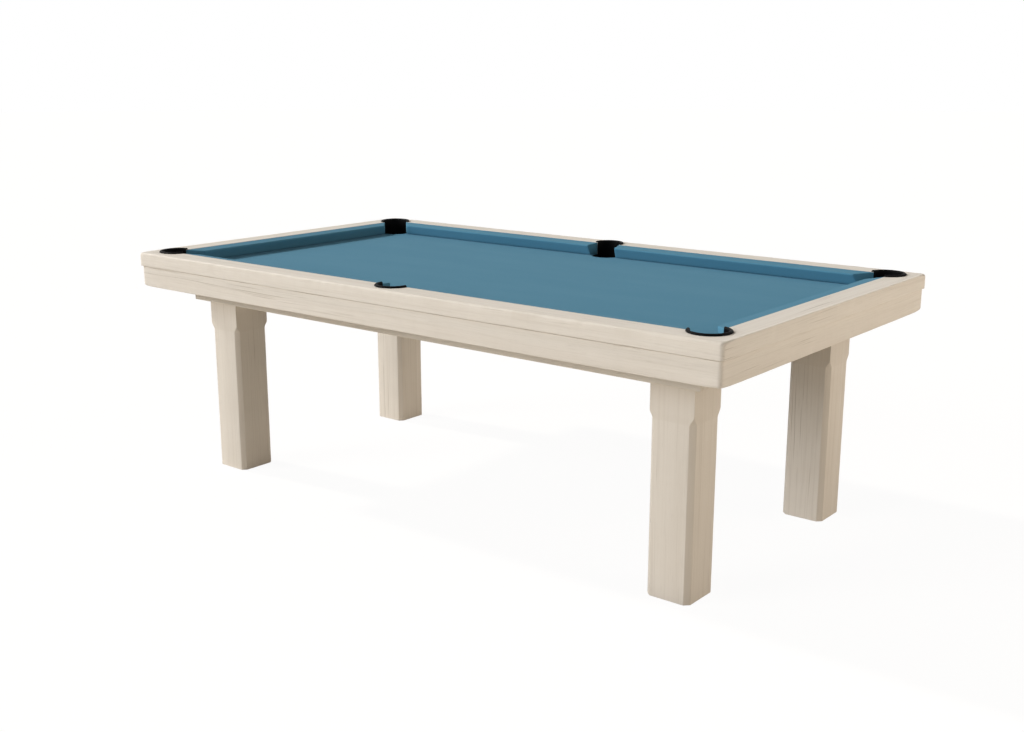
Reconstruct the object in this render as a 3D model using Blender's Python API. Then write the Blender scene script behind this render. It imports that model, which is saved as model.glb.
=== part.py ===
"""Slate-bed pool table with square chamfered legs, six drop pockets and levelling feet.

Metres, +Z up. The origin is on the floor under the middle of the table, +X along its length.
"""
import math

import bmesh
import bpy

# Overall plan
TABLE_LENGTH = 2.524
TABLE_WIDTH = 1.397

# Gap left between pieces that touch, and between a turning stem and its bore
SEAT_GAP = 0.0003
RUNNING_CLEARANCE = 0.00005

# Legs: square timber, edges chamfered up to a stop below the top
LEG_SIZE = 0.150
LEG_HEIGHT = 0.6672
LEG_INSET_LENGTH = 0.183
LEG_INSET_WIDTH = 0.180
LEG_CHAMFER = 0.0156
LEG_ARRIS = 0.001
CHAMFER_STOP_DROP = 0.089
CHAMFER_STOP_LENGTH = 0.030
CHAMFER_STOP_STEPS = 6

# Chassis: beams on the legs that carry the slate
BEAM_HEIGHT = 0.1115
BEAM_WIDTH = 0.110
BEAM_OVERHANG = 0.040
BEAM_EASE = 0.002
CORNER_BLOCK_SIZE = 0.130
CORNER_BLOCK_HEIGHT = 0.050
CORNER_BLOCK_CUT = 0.045

# Bed
SLATE_THICKNESS = 0.025
SLATE_MARGIN = 0.036
SLATE_COUNT = 3
CLOTH_THICKNESS = 0.001
BED_DROP = 0.0465

# Wooden rails
RAIL_WIDTH = 0.085
RAIL_DEPTH = 0.051
RAIL_LIP = 0.034
RAIL_EDGE_RADIUS = 0.009
CORNER_CORE = 0.003
EDGE_STEPS = 4
CORNER_STEPS = 4

# Aprons below the rails
APRON_DEPTH = 0.077
APRON_THICKNESS = 0.020
APRON_INSET = 0.006
APRON_EASE = 0.003
GLUE_BLOCK_LEG = 0.040
GLUE_BLOCK_MARGIN = 0.010

# Cushions
CUSHION_REACH = 0.051
CUSHION_BACK_DROP = 0.0008
NOSE_DROP = 0.0055
NOSE_RADIUS = 0.005
NOSE_STEPS = 5
CUSHION_UNDERCUT = 0.014
CORNER_MOUTH = 0.100
CORNER_THROAT = 0.096
SIDE_MOUTH = 0.127
SIDE_THROAT = 0.104

# Pockets: a round liner with a collar in the rail, widening into a cup under the notch in the bed.
# Offsets are counted inward from the rails' inner faces.
CORNER_POCKET_RADIUS = 0.0525
CORNER_POCKET_OFFSET = 0.015
CORNER_DROP_RADIUS = 0.063
CORNER_DROP_OFFSET = 0.035
SIDE_POCKET_RADIUS = 0.048
SIDE_POCKET_OFFSET = -0.003
SIDE_DROP_RADIUS = 0.058
SIDE_DROP_OFFSET = 0.0125
POCKET_WALL = 0.003
POCKET_DEPTH = 0.080
POCKET_CLEARANCE = 0.0005
POCKET_LEDGE = 0.004
COLLAR_WIDTH = 0.012
COLLAR_HEIGHT = 0.0065
COLLAR_STEPS = 6
FLOOR_FILLET = 0.006
BEAM_RELIEF = 0.003
POCKET_SEGMENTS = 32

# Levelling feet in the legs
PAD_RADIUS = 0.025
PAD_THICKNESS = 0.009
PAD_EDGE = 0.002
PAD_RECESS = 0.0005
PAD_CLEARANCE = 0.001
SOCKET_FLOOR = 0.003
STEM_RADIUS = 0.006
STEM_LENGTH = 0.058
STEM_TIP = 0.0015
INSERT_RADIUS = 0.009
INSERT_LENGTH = 0.025
INSERT_FLANGE_RADIUS = 0.014
INSERT_FLANGE = 0.002
BORE_CLEARANCE = 0.0006
SCREW_SEGMENTS = 16

# Leg bolts
BOLT_RADIUS = 0.006
BOLT_REACH = 0.075
BOLT_HEAD_FLATS = 0.019
BOLT_HEAD_HEIGHT = 0.008
BOLT_FLANGE_RADIUS = 0.014
BOLT_FLANGE = 0.0025
BOLT_CHAMFER = 0.001
BOLT_TIP_ROOM = 0.004

# Heights, from the floor up
BEAM_BOTTOM = LEG_HEIGHT + SEAT_GAP
BEAM_TOP = BEAM_BOTTOM + BEAM_HEIGHT
SLATE_BOTTOM = BEAM_TOP + SEAT_GAP
SLATE_TOP = SLATE_BOTTOM + SLATE_THICKNESS
CLOTH_BOTTOM = SLATE_TOP + SEAT_GAP
BED_TOP = CLOTH_BOTTOM + CLOTH_THICKNESS
RAIL_TOP = BED_TOP + BED_DROP
RAIL_BOTTOM = RAIL_TOP - RAIL_DEPTH
RAIL_SEAT = BED_TOP + SEAT_GAP
APRON_TOP = RAIL_BOTTOM - SEAT_GAP
APRON_BOTTOM = APRON_TOP - APRON_DEPTH
POCKET_BOTTOM = BED_TOP - POCKET_DEPTH

# Plan positions
CORNER_RADIUS = RAIL_EDGE_RADIUS + CORNER_CORE
HALF_LENGTH = TABLE_LENGTH / 2
HALF_WIDTH = TABLE_WIDTH / 2
LEG_X = HALF_LENGTH - LEG_INSET_LENGTH - LEG_SIZE / 2
LEG_Y = HALF_WIDTH - LEG_INSET_WIDTH - LEG_SIZE / 2
CHASSIS_X = LEG_X + LEG_SIZE / 2 + BEAM_OVERHANG
CHASSIS_Y = LEG_Y + LEG_SIZE / 2 + BEAM_OVERHANG
CHASSIS_INNER_X = CHASSIS_X - BEAM_WIDTH
CHASSIS_INNER_Y = CHASSIS_Y - BEAM_WIDTH
BOLT_X = (CHASSIS_INNER_X + LEG_X - LEG_SIZE / 2) / 2
BOLT_Y = (CHASSIS_INNER_Y + LEG_Y - LEG_SIZE / 2) / 2
SLATE_X = HALF_LENGTH - SLATE_MARGIN
SLATE_Y = HALF_WIDTH - SLATE_MARGIN
SLATE_PITCH = 2 * SLATE_X / SLATE_COUNT
NOSE_SETBACK = RAIL_WIDTH + CUSHION_REACH
CUSHION_BACK = RAIL_WIDTH + SEAT_GAP
CORNER_SETBACK = RAIL_WIDTH + CORNER_DROP_OFFSET
SIDE_SETBACK = RAIL_WIDTH + SIDE_DROP_OFFSET

# Levelling foot, heights above the leg's foot
PAD_TOP = PAD_RECESS + PAD_THICKNESS
STEM_FOOT = PAD_RECESS + SOCKET_FLOOR + SEAT_GAP
STEM_TOP = STEM_FOOT + STEM_LENGTH
INSERT_FOOT = PAD_TOP + SEAT_GAP
INSERT_SHOULDER = INSERT_FOOT + INSERT_FLANGE
INSERT_TOP = INSERT_SHOULDER + INSERT_LENGTH
STEM_BORE = (STEM_RADIUS + RUNNING_CLEARANCE) / math.cos(math.pi / SCREW_SEGMENTS)

# The four sides: half length, place of the outer face's middle, and turn about Z.
# In a side's own frame X runs along it, Y points inward and Z is the height above the floor.
SIDES = {
    "near": (HALF_LENGTH, (0, -HALF_WIDTH, 0), 0),
    "right": (HALF_WIDTH, (HALF_LENGTH, 0, 0), 90),
    "far": (HALF_LENGTH, (0, HALF_WIDTH, 0), 180),
    "left": (HALF_WIDTH, (-HALF_LENGTH, 0, 0), 270),
}
# The four corners: sign of X, sign of Y, and the turn that brings the near left corner there
CORNERS = {
    "near_left": (-1, -1, 0),
    "near_right": (1, -1, 90),
    "far_right": (1, 1, 180),
    "far_left": (-1, 1, 270),
}


def clear_scene():
    for item in list(bpy.data.objects):
        bpy.data.objects.remove(item, do_unlink=True)


def make_material(name, colour, roughness, metallic=0.0):
    material = bpy.data.materials.new(name)
    material.use_nodes = True
    shader = material.node_tree.nodes["Principled BSDF"]
    shader.inputs["Base Color"].default_value = (*colour, 1.0)
    shader.inputs["Roughness"].default_value = roughness
    shader.inputs["Metallic"].default_value = metallic
    return material


def add_object(name, shape, material=None, location=(0, 0, 0), turn=0, smooth_angle=None):
    """Turn a bmesh into a named object; no material makes it a cutter."""
    bmesh.ops.recalc_face_normals(shape, faces=shape.faces)
    mesh = bpy.data.meshes.new(name)
    shape.to_mesh(mesh)
    shape.free()
    if smooth_angle is not None:
        mesh.shade_smooth()
        mesh.set_sharp_from_angle(angle=math.radians(smooth_angle))
    item = bpy.data.objects.new(name, mesh)
    item.location = location
    item.rotation_euler = (0, 0, math.radians(turn))
    bpy.context.scene.collection.objects.link(item)
    if material is None:
        item.hide_render = True
        item.display_type = "WIRE"
    else:
        mesh.materials.append(material)
    return item


def cut(item, *cutters):
    for cutter in cutters:
        modifier = item.modifiers.new("cut_" + cutter.name, "BOOLEAN")
        modifier.operation = "DIFFERENCE"
        modifier.solver = "EXACT"
        modifier.object = cutter


def loft(rings, hollow=False):
    """Closed solid through rings of equally many points: capped, or joined end to end if hollow."""
    shape = bmesh.new()
    loops = [[shape.verts.new(point) for point in ring] for ring in rings]
    count = len(loops[0])
    pairs = list(zip(loops, loops[1:]))
    if hollow:
        pairs.append((loops[-1], loops[0]))
    else:
        shape.faces.new(list(reversed(loops[0])))
        shape.faces.new(loops[-1])
    for lower, upper in pairs:
        for i in range(count):
            j = (i + 1) % count
            shape.faces.new((lower[i], lower[j], upper[j], upper[i]))
    return shape


def prism(outline, bottom, top):
    return loft([[(x, y, height) for x, y in outline] for height in (bottom, top)])


def box(low, high):
    outline = [(low[0], low[1]), (high[0], low[1]), (high[0], high[1]), (low[0], high[1])]
    return prism(outline, low[2], high[2])


def circle(radius, segments):
    step = 2 * math.pi / segments
    return [(radius * math.cos(i * step), radius * math.sin(i * step)) for i in range(segments)]


def turned(profile, segments, hollow=False):
    """Solid turned about Z from (radius, height) points; a hollow one is open along its axis."""
    rings = [[(x, y, height) for x, y in circle(radius, segments)] for radius, height in profile]
    return loft(rings, hollow)


def arc(centre, radius, start, end, steps):
    points = []
    for i in range(steps + 1):
        angle = math.radians(start + (end - start) * i / steps)
        points.append((centre[0] + radius * math.cos(angle), centre[1] + radius * math.sin(angle)))
    return points


def ease_edges(item, width):
    modifier = item.modifiers.new("eased_edges", "BEVEL")
    modifier.width = width
    modifier.segments = 1
    modifier.limit_method = "ANGLE"


def board_outline(half, width, inset):
    """Mitred board with its outer face on Y = 0, drawn in by inset; its outer corners are rounded."""
    end = half - SEAT_GAP
    reach = CORNER_RADIUS - inset
    left = arc((-end + CORNER_RADIUS, CORNER_RADIUS), reach, 225, 270, CORNER_STEPS)
    right = arc((end - CORNER_RADIUS, CORNER_RADIUS), reach, 270, 315, CORNER_STEPS)
    return left + right + [(end - width, width), (-end + width, width)]


def edge_round(radius, steps):
    """Inset and height, counted from the start of the rounding, around a quarter circle."""
    points = []
    for i in range(1, steps + 1):
        angle = math.pi / 2 * i / steps
        points.append((radius * (1 - math.cos(angle)), radius * math.sin(angle)))
    return points


def corner_place(corner, setback):
    sign_x, sign_y, turn = CORNERS[corner]
    return (sign_x * (HALF_LENGTH - setback), sign_y * (HALF_WIDTH - setback), 0), turn


def pocket_places():
    """Name, kind, place and turn of each pocket; in its own frame X points towards the bed."""
    places = []
    for corner in CORNERS:
        place, turn = corner_place(corner, CORNER_SETBACK)
        places.append((corner, "corner", place, turn + 45))
    for side, sign in (("near", -1), ("far", 1)):
        place = (0, sign * (HALF_WIDTH - SIDE_SETBACK), 0)
        places.append((side + "_middle", "side", place, SIDES[side][2] + 90))
    return places


def pocket_sizes(kind):
    """Inner radius of the liner, radius of the bed's notch, and how far the liner lies behind it."""
    if kind == "corner":
        lean = (CORNER_DROP_OFFSET - CORNER_POCKET_OFFSET) * math.sqrt(2)
        return CORNER_POCKET_RADIUS, CORNER_DROP_RADIUS, lean
    return SIDE_POCKET_RADIUS, SIDE_DROP_RADIUS, SIDE_DROP_OFFSET - SIDE_POCKET_OFFSET


def oval(back, front, lean):
    """Outline with a half circle about the origin in front and one set back by lean behind."""
    steps = POCKET_SEGMENTS // 2 - 1
    return arc((0, 0), front, -90, 90, steps) + arc((-lean, 0), back, 90, 270, steps)


def liner(radius, lean):
    """Circle about the liner's axis, with its points in step with those of the oval."""
    step = 360 / POCKET_SEGMENTS
    return arc((-lean, 0), radius, -90 + step / 2, 270 - step / 2, POCKET_SEGMENTS - 1)


def throat_outline(kind, reach):
    """The open quarter in front of a corner pocket, or the open half in front of a side pocket."""
    if kind == "corner":
        apex = -CORNER_DROP_OFFSET * math.sqrt(2)
        return [(apex, 0), (apex + reach, -reach), (apex + 2 * reach, 0), (apex + reach, reach)]
    face = -SIDE_DROP_OFFSET
    return [(face, -reach), (face + reach, -reach), (face + reach, reach), (face, reach)]


def build_pocket_cutters():
    """Round holes for the rails, notches for slate and cloth, and reliefs for the beams."""
    cutters = {}
    for name, kind, place, turn in pocket_places():
        radius, drop, lean = pocket_sizes(kind)
        back = radius + POCKET_WALL + POCKET_CLEARANCE
        hole = prism(liner(back, lean), RAIL_BOTTOM - RAIL_DEPTH, RAIL_TOP + RAIL_DEPTH)
        reach = 2 * (CORNER_SETBACK if kind == "corner" else SIDE_SETBACK)
        outline = arc((0, 0), drop, -90, 90, POCKET_SEGMENTS // 2) + [(-reach, drop), (-reach, -drop)]
        notch = prism(outline, SLATE_BOTTOM - SLATE_THICKNESS, RAIL_TOP)
        relief = oval(back + BEAM_RELIEF, drop + BEAM_RELIEF, lean)
        relief = prism(relief, POCKET_BOTTOM - BEAM_RELIEF, RAIL_TOP)
        cutters[name] = (
            add_object("cut_rail_" + name, hole, None, place, turn),
            add_object("cut_bed_" + name, notch, None, place, turn),
            add_object("cut_beam_" + name, relief, None, place, turn),
        )
    return cutters


def build_rails(material, cutters):
    recess = box(
        (-HALF_LENGTH + RAIL_LIP, -HALF_WIDTH + RAIL_LIP, RAIL_BOTTOM - RAIL_DEPTH),
        (HALF_LENGTH - RAIL_LIP, HALF_WIDTH - RAIL_LIP, RAIL_SEAT),
    )
    recess = add_object("cut_rail_seat", recess)
    for side, (half, place, turn) in SIDES.items():
        levels = [(0, RAIL_BOTTOM)]
        levels.append((0, RAIL_TOP - RAIL_EDGE_RADIUS))
        for inset, rise in edge_round(RAIL_EDGE_RADIUS, EDGE_STEPS):
            levels.append((inset, RAIL_TOP - RAIL_EDGE_RADIUS + rise))
        rings = []
        for inset, height in levels:
            rings.append([(x, y, height) for x, y in board_outline(half, RAIL_WIDTH, inset)])
        kind = "side_rail_" if side in ("near", "far") else "end_rail_"
        rail = add_object(kind + side, loft(rings), material, place, turn, 40)
        cut(rail, recess)
        for name in cutters:
            if side in name.split("_"):
                cut(rail, cutters[name][0])


def build_aprons(material):
    for side, (half, place, turn) in SIDES.items():
        levels = [(0, APRON_TOP), (0, APRON_BOTTOM + APRON_EASE)]
        for inset, fall in edge_round(APRON_EASE, EDGE_STEPS):
            levels.append((inset, APRON_BOTTOM + APRON_EASE - fall))
        rings = []
        for inset, height in levels:
            outline = board_outline(half - APRON_INSET, APRON_THICKNESS, inset)
            rings.append([(x, y + APRON_INSET, height) for x, y in outline])
        kind = "side_apron_" if side in ("near", "far") else "end_apron_"
        add_object(kind + side, loft(rings), material, place, turn, 40)


def build_glue_blocks(material):
    face = APRON_INSET + APRON_THICKNESS + SEAT_GAP
    leg = GLUE_BLOCK_LEG
    for corner in CORNERS:
        place, turn = corner_place(corner, face)
        outline = [(0, 0), (leg, 0), (0, leg)]
        block = prism(outline, APRON_BOTTOM + GLUE_BLOCK_MARGIN, APRON_TOP - GLUE_BLOCK_MARGIN)
        add_object("apron_block_" + corner, block, material, place, turn)


def build_slates(material, cutters):
    for i in range(SLATE_COUNT):
        low = -SLATE_X + i * SLATE_PITCH + SEAT_GAP / 2
        high = low + SLATE_PITCH - SEAT_GAP
        shape = box((low, -SLATE_Y, SLATE_BOTTOM), (high, SLATE_Y, SLATE_TOP))
        slate = add_object("slate_%d" % (i + 1), shape, material)
        for name, kind, place, turn in pocket_places():
            if low < place[0] < high:
                cut(slate, cutters[name][1])


def build_bed_cloth(material, cutters):
    shape = box((-SLATE_X, -SLATE_Y, CLOTH_BOTTOM), (SLATE_X, SLATE_Y, BED_TOP))
    cloth = add_object("bed_cloth", shape, material)
    cut(cloth, *[cutters[name][1] for name in cutters])


def cushion_profile():
    """Section across a cushion, as (distance from the rail's outer face, height) points."""
    nose_top = RAIL_TOP - NOSE_DROP
    centre = (NOSE_SETBACK - NOSE_RADIUS, nose_top - NOSE_RADIUS)
    nose = arc(centre, NOSE_RADIUS, 85, -20, NOSE_STEPS)
    back = [(CUSHION_BACK, RAIL_SEAT), (CUSHION_BACK, RAIL_TOP - CUSHION_BACK_DROP)]
    return back + nose + [(NOSE_SETBACK - CUSHION_UNDERCUT, RAIL_SEAT)]


def add_cushion(name, side, left, right, material):
    """Cushion between two jaws; left and right give each jaw's X at the rail and at the nose."""
    half, place, turn = SIDES[side]
    rings = []
    for at_rail, at_nose in (left, right):
        ring = []
        for depth, height in cushion_profile():
            share = (depth - RAIL_WIDTH) / CUSHION_REACH
            ring.append((at_rail + (at_nose - at_rail) * share, depth, height))
        rings.append(ring)
    add_object(name, loft(rings), material, place, turn, 40)


def build_cushions(material):
    rail_corner = RAIL_WIDTH + CORNER_THROAT / math.sqrt(2)
    nose_corner = NOSE_SETBACK + CORNER_MOUTH / math.sqrt(2)
    side_jaw = (SIDE_THROAT / 2, SIDE_MOUTH / 2)
    for side, (half, place, turn) in SIDES.items():
        jaw = (half - rail_corner, half - nose_corner)
        opposite = tuple(-x for x in jaw)
        if side in ("left", "right"):
            add_cushion("end_cushion_" + side, side, opposite, jaw, material)
            continue
        hands = ("left", "right") if side == "near" else ("right", "left")
        name = "side_cushion_" + side + "_"
        add_cushion(name + hands[0], side, opposite, tuple(-x for x in side_jaw), material)
        add_cushion(name + hands[1], side, side_jaw, jaw, material)


def pocket_rings(kind):
    """Rings of a pocket: under the floor, up the outside, over the collar and down inside."""
    radius, drop, lean = pocket_sizes(kind)
    outside = radius + POCKET_WALL
    front = drop - POCKET_CLEARANCE
    inside = front - POCKET_WALL
    seat = RAIL_TOP + SEAT_GAP
    floor = POCKET_BOTTOM + POCKET_WALL
    ledge = BED_TOP - POCKET_LEDGE
    sections = [
        (oval(outside - FLOOR_FILLET, front - FLOOR_FILLET, lean), POCKET_BOTTOM),
        (oval(outside, front, lean), POCKET_BOTTOM + FLOOR_FILLET),
        (oval(outside, front, lean), ledge),
        (liner(outside, lean), BED_TOP),
        (liner(outside, lean), seat),
    ]
    for across, rise in arc((0, 0), 1, 0, 180, COLLAR_STEPS):
        girth = radius + COLLAR_WIDTH * (1 + across) / 2
        sections.append((liner(girth, lean), seat + COLLAR_HEIGHT * rise))
    sections += [
        (liner(radius, lean), BED_TOP),
        (oval(radius, inside, lean), ledge),
        (oval(radius, inside, lean), floor + FLOOR_FILLET),
        (oval(radius - FLOOR_FILLET, inside - FLOOR_FILLET, lean), floor),
    ]
    return [[(x, y, height) for x, y in outline] for outline, height in sections]


def build_pockets(material):
    for name, kind, place, turn in pocket_places():
        pocket = add_object("pocket_" + name, loft(pocket_rings(kind)), material, place, turn, 35)
        reach = 2 * (CORNER_SETBACK if kind == "corner" else SIDE_SETBACK)
        throat = prism(throat_outline(kind, reach), BED_TOP - POCKET_LEDGE, RAIL_TOP + reach)
        cut(pocket, add_object("cut_throat_" + name, throat, None, place, turn))


def build_chassis(material, cutters):
    inner_x = CHASSIS_INNER_X
    inner_y = CHASSIS_INNER_Y - SEAT_GAP
    for side, sign in (("near", -1), ("far", 1)):
        low_y, high_y = sorted((sign * CHASSIS_Y, sign * CHASSIS_INNER_Y))
        shape = box((-CHASSIS_X, low_y, BEAM_BOTTOM), (CHASSIS_X, high_y, BEAM_TOP))
        beam = add_object("long_beam_" + side, shape, material)
        ease_edges(beam, BEAM_EASE)
        for name in cutters:
            if side in name.split("_"):
                cut(beam, cutters[name][2])
    spans = {"end_beam_left": (-CHASSIS_X, -inner_x), "end_beam_right": (inner_x, CHASSIS_X)}
    for i in range(1, SLATE_COUNT):
        joint = -SLATE_X + i * SLATE_PITCH
        spans["cross_beam_%d" % i] = (joint - BEAM_WIDTH / 2, joint + BEAM_WIDTH / 2)
    for name, (low, high) in spans.items():
        shape = box((low, -inner_y, BEAM_BOTTOM), (high, inner_y, BEAM_TOP))
        ease_edges(add_object(name, shape, material), BEAM_EASE)


def build_corner_blocks(material):
    """Blocks in the chassis's inner corners; a leg bolt goes down through each."""
    size = CORNER_BLOCK_SIZE
    slant = CORNER_BLOCK_CUT
    outline = [(0, 0), (size, 0), (size, size - slant), (size - slant, size), (0, size)]
    for corner, (sign_x, sign_y, turn) in CORNERS.items():
        inner = (CHASSIS_INNER_X - SEAT_GAP, CHASSIS_INNER_Y - SEAT_GAP)
        place = (sign_x * inner[0], sign_y * inner[1], 0)
        shape = prism(outline, BEAM_BOTTOM, BEAM_BOTTOM + CORNER_BLOCK_HEIGHT)
        block = add_object("corner_block_" + corner, shape, material, place, turn)
        bore = prism(circle(BOLT_RADIUS + BORE_CLEARANCE, SCREW_SEGMENTS), 0, RAIL_TOP)
        cutter = add_object("cut_block_" + corner, bore, None, (sign_x * BOLT_X, sign_y * BOLT_Y, 0))
        cut(block, cutter)


def leg_rings():
    """Eight-sided sections up a leg: full chamfer below, a curved stop, then a thin arris."""
    stop_top = LEG_HEIGHT - CHAMFER_STOP_DROP
    levels = [(LEG_CHAMFER, 0)]
    for i in range(CHAMFER_STOP_STEPS + 1):
        share = i / CHAMFER_STOP_STEPS
        fade = 0.5 + 0.5 * math.cos(math.pi * share)
        size = LEG_ARRIS + (LEG_CHAMFER - LEG_ARRIS) * fade
        levels.append((size, stop_top - CHAMFER_STOP_LENGTH * (1 - share)))
    levels.append((LEG_ARRIS, LEG_HEIGHT))
    half = LEG_SIZE / 2
    rings = []
    for chamfer, height in levels:
        flat = half - chamfer
        ring = [(half, -flat), (half, flat), (flat, half), (-flat, half)]
        ring += [(-half, flat), (-half, -flat), (-flat, -half), (flat, -half)]
        rings.append([(x, y, height) for x, y in ring])
    return rings


def build_legs(material):
    recess = PAD_RADIUS + PAD_CLEARANCE
    ceiling = INSERT_SHOULDER + SEAT_GAP
    insert_bore = INSERT_RADIUS + BORE_CLEARANCE
    stem_bore = STEM_RADIUS + BORE_CLEARANCE
    foot = [(recess, -PAD_THICKNESS), (recess, ceiling), (insert_bore, ceiling)]
    foot += [(insert_bore, INSERT_TOP + SEAT_GAP), (stem_bore, INSERT_TOP + SEAT_GAP)]
    foot += [(stem_bore, STEM_TOP + BORE_CLEARANCE)]
    for corner, (sign_x, sign_y, turn) in CORNERS.items():
        place = (sign_x * LEG_X, sign_y * LEG_Y, 0)
        leg = add_object("leg_" + corner, loft(leg_rings()), material, place, turn)
        foot_cutter = add_object("cut_foot_" + corner, turned(foot, SCREW_SEGMENTS * 2), None, place)
        bolt_bottom = LEG_HEIGHT - BOLT_REACH - BOLT_TIP_ROOM
        bolt_bore = prism(circle(BOLT_RADIUS + BORE_CLEARANCE, SCREW_SEGMENTS), bolt_bottom, RAIL_TOP)
        bolt_place = (sign_x * BOLT_X, sign_y * BOLT_Y, 0)
        cut(leg, foot_cutter, add_object("cut_bolt_" + corner, bolt_bore, None, bolt_place))


def build_levellers(steel, plastic):
    """Pad, threaded stem and threaded insert in each leg's foot."""
    socket = PAD_RECESS + SOCKET_FLOOR
    edge = PAD_EDGE
    pad = [(PAD_RADIUS - edge, PAD_RECESS), (PAD_RADIUS, PAD_RECESS + edge), (PAD_RADIUS, PAD_TOP - edge)]
    pad += [(PAD_RADIUS - edge, PAD_TOP), (STEM_BORE, PAD_TOP), (STEM_BORE, socket)]
    stem = [(STEM_RADIUS - STEM_TIP, STEM_FOOT), (STEM_RADIUS, STEM_FOOT + STEM_TIP)]
    stem += [(STEM_RADIUS, STEM_TOP - STEM_TIP), (STEM_RADIUS - STEM_TIP, STEM_TOP)]
    insert = [(INSERT_FLANGE_RADIUS, INSERT_FOOT), (INSERT_FLANGE_RADIUS, INSERT_SHOULDER)]
    insert += [(INSERT_RADIUS, INSERT_SHOULDER), (INSERT_RADIUS, INSERT_TOP)]
    insert += [(STEM_BORE, INSERT_TOP), (STEM_BORE, INSERT_FOOT)]
    for corner, (sign_x, sign_y, turn) in CORNERS.items():
        place = (sign_x * LEG_X, sign_y * LEG_Y, 0)
        add_object("leveller_pad_" + corner, turned(pad, SCREW_SEGMENTS), plastic, place, 0, 35)
        add_object("leveller_stem_" + corner, turned(stem, SCREW_SEGMENTS), steel, place, 0, 35)
        sleeve = turned(insert, SCREW_SEGMENTS, True)
        add_object("leveller_insert_" + corner, sleeve, steel, place, 0, 35)


def hexagon(flats, segments):
    """Hexagon across the given flats, with as many points as the bolt's round sections."""
    points = []
    for i in range(segments):
        angle = 2 * math.pi * i / segments
        from_flat = (angle + math.pi / 6) % (math.pi / 3) - math.pi / 6
        radius = flats / 2 / math.cos(from_flat)
        points.append((radius * math.cos(angle), radius * math.sin(angle)))
    return points


def build_leg_bolts(material):
    """Flanged hexagon bolts from the corner blocks down into the legs."""
    segments = 24
    seat = BEAM_BOTTOM + CORNER_BLOCK_HEIGHT + SEAT_GAP
    tip = LEG_HEIGHT - BOLT_REACH
    head = seat + BOLT_FLANGE
    sections = [
        (circle(BOLT_RADIUS - BOLT_CHAMFER, segments), tip),
        (circle(BOLT_RADIUS, segments), tip + BOLT_CHAMFER),
        (circle(BOLT_RADIUS, segments), seat),
        (circle(BOLT_FLANGE_RADIUS, segments), seat),
        (circle(BOLT_FLANGE_RADIUS, segments), head),
        (hexagon(BOLT_HEAD_FLATS, segments), head),
        (hexagon(BOLT_HEAD_FLATS, segments), head + BOLT_HEAD_HEIGHT - BOLT_CHAMFER),
        (hexagon(BOLT_HEAD_FLATS - 2 * BOLT_CHAMFER, segments), head + BOLT_HEAD_HEIGHT),
    ]
    rings = [[(x, y, height) for x, y in outline] for outline, height in sections]
    for corner, (sign_x, sign_y, turn) in CORNERS.items():
        place = (sign_x * BOLT_X, sign_y * BOLT_Y, 0)
        add_object("leg_bolt_" + corner, loft(rings), material, place, 0, 35)


def main():
    clear_scene()
    oak = make_material("bleached_oak", (0.69, 0.62, 0.52), 0.55)
    timber = make_material("frame_timber", (0.58, 0.52, 0.43), 0.65)
    slate = make_material("slate", (0.07, 0.075, 0.08), 0.7)
    cloth = make_material("bed_cloth", (0.10, 0.24, 0.30), 0.9)
    cushion = make_material("cushion_cloth", (0.10, 0.25, 0.31), 0.9)
    rubber = make_material("pocket_rubber", (0.012, 0.012, 0.013), 0.5)
    steel = make_material("zinc_steel", (0.62, 0.62, 0.60), 0.35, 1.0)
    plastic = make_material("pad_plastic", (0.02, 0.02, 0.022), 0.45)
    cutters = build_pocket_cutters()
    build_rails(oak, cutters)
    build_aprons(oak)
    build_glue_blocks(timber)
    build_slates(slate, cutters)
    build_bed_cloth(cloth, cutters)
    build_cushions(cushion)
    build_pockets(rubber)
    build_chassis(timber, cutters)
    build_corner_blocks(timber)
    build_legs(oak)
    build_levellers(steel, plastic)
    build_leg_bolts(steel)


main()
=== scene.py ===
import math
from collections import namedtuple

import bmesh
import bpy
from mathutils import Matrix, Vector, noise


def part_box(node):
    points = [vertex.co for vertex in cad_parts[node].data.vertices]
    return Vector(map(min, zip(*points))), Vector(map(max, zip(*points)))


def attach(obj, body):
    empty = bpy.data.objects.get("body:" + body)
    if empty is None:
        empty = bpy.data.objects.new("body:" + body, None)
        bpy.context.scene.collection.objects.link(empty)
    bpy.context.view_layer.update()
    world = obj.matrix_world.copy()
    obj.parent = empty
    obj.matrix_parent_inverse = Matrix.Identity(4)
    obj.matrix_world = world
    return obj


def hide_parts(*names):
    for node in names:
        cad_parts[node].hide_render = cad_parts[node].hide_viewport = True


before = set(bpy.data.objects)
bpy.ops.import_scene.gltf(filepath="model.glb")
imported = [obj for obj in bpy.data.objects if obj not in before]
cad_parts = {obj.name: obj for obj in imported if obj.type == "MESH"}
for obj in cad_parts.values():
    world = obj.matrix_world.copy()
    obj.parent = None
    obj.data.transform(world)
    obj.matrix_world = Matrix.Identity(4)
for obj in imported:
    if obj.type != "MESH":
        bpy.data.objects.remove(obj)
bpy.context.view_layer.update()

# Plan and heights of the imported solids, in metres like every length here
HALF_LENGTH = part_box("end_rail_right")[1].x
HALF_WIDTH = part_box("side_rail_far")[1].y
RAIL_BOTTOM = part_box("side_rail_near")[0].z
RAIL_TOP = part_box("side_rail_near")[1].z
APRON_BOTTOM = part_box("side_apron_near")[0].z
APRON_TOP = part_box("side_apron_near")[1].z
BED_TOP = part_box("bed_cloth")[1].z
CLOTH_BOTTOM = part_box("bed_cloth")[0].z
SLATE_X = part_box("bed_cloth")[1].x
SLATE_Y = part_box("bed_cloth")[1].y
LEG_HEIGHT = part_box("leg_near_left")[1].z
POCKET_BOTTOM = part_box("pocket_near_left")[0].z

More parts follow.
